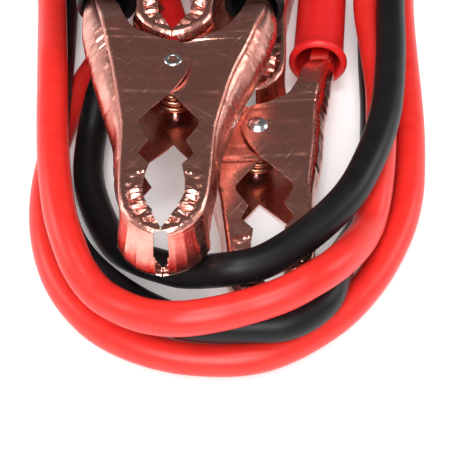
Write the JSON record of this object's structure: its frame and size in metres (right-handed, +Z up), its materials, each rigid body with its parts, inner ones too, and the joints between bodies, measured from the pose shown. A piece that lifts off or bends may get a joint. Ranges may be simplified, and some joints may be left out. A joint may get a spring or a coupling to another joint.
{
  "type": "car jumper cable",
  "caption": "Car jumper cable wound into a hank: red and black rubber cables with copper-plated toothed spring clamps in plastic grips, held by straps.",
  "frame": {"origin": "on the floor under the middle of the clamps and straps", "axes": "+Z up from the floor, the clamp jaws point to -Y, the looped far end of the hank to +Y, +X to the right as seen from the jaws"},
  "size_m": [0.137, 0.3194, 0.0393],
  "materials": {
    "copper_plate": "bright copper-plated steel sheet, worn and lightly scratched",
    "zinc": "bright zinc-plated steel",
    "spring_wire": "copper-plated spring wire",
    "red_grip": "satin soft PVC",
    "black_grip": "satin soft PVC",
    "red_cable": "satin PVC cable sheath",
    "black_cable": "satin PVC cable sheath",
    "strap": "woven hook-and-loop strap"
  },
  "bodies": {
    "root": {"clamp_a_cable_jaw": "copper_plate", "clamp_a_cable_grip": "black_grip", "clamp_a_rivet": "zinc", "clamp_a_spring": "spring_wire", "clamp_b_cable_jaw": "copper_plate", "clamp_b_cable_grip": "red_grip", "clamp_b_rivet": "zinc", "clamp_b_spring": "spring_wire", "clamp_c_cable_jaw": "copper_plate", "clamp_c_cable_grip": "black_grip", "clamp_c_rivet": "zinc", "clamp_c_spring": "spring_wire", "clamp_d_cable_jaw": "copper_plate", "clamp_d_cable_grip": "red_grip", "clamp_d_rivet": "zinc", "clamp_d_spring": "spring_wire", "cable_black": "black_cable", "cable_red": "red_cable", "strap_left": "strap", "strap_right": "strap"},
    "clamp_a_free": {"clamp_a_free_jaw": "copper_plate", "clamp_a_free_grip": "black_grip"},
    "clamp_b_free": {"clamp_b_free_jaw": "copper_plate", "clamp_b_free_grip": "red_grip"},
    "clamp_c_free": {"clamp_c_free_jaw": "copper_plate", "clamp_c_free_grip": "black_grip"},
    "clamp_d_free": {"clamp_d_free_jaw": "copper_plate", "clamp_d_free_grip": "red_grip"}
  },
  "joints": [
    {"name": "clamp_a_open", "type": "hinge", "parent": "root", "child": "clamp_a_free", "pos_m": [-0.0145, -0.0475, 0.0293], "axis": [0, 0, 1], "range_deg": [0, 1], "stiffness_Nm_per_rad": 1.5, "springref_deg": -57.3},
    {"name": "clamp_b_open", "type": "hinge", "parent": "root", "child": "clamp_b_free", "pos_m": [0.0062, -0.0498, 0.0096], "axis": [0, 0, -1], "range_deg": [0, 2.5], "stiffness_Nm_per_rad": 1.5, "springref_deg": -57.3},
    {"name": "clamp_c_open", "type": "hinge", "parent": "root", "child": "clamp_c_free", "pos_m": [-0.0132, 0.0182, 0.029], "axis": [0, 0, -1], "range_deg": [0, 2], "stiffness_Nm_per_rad": 1.5, "springref_deg": -57.3},
    {"name": "clamp_d_open", "type": "hinge", "parent": "root", "child": "clamp_d_free", "pos_m": [0.0032, 0.0166, 0.01035], "axis": [0, 0, 1], "range_deg": [0, 3], "stiffness_Nm_per_rad": 1.5, "springref_deg": -57.3}
  ]
}
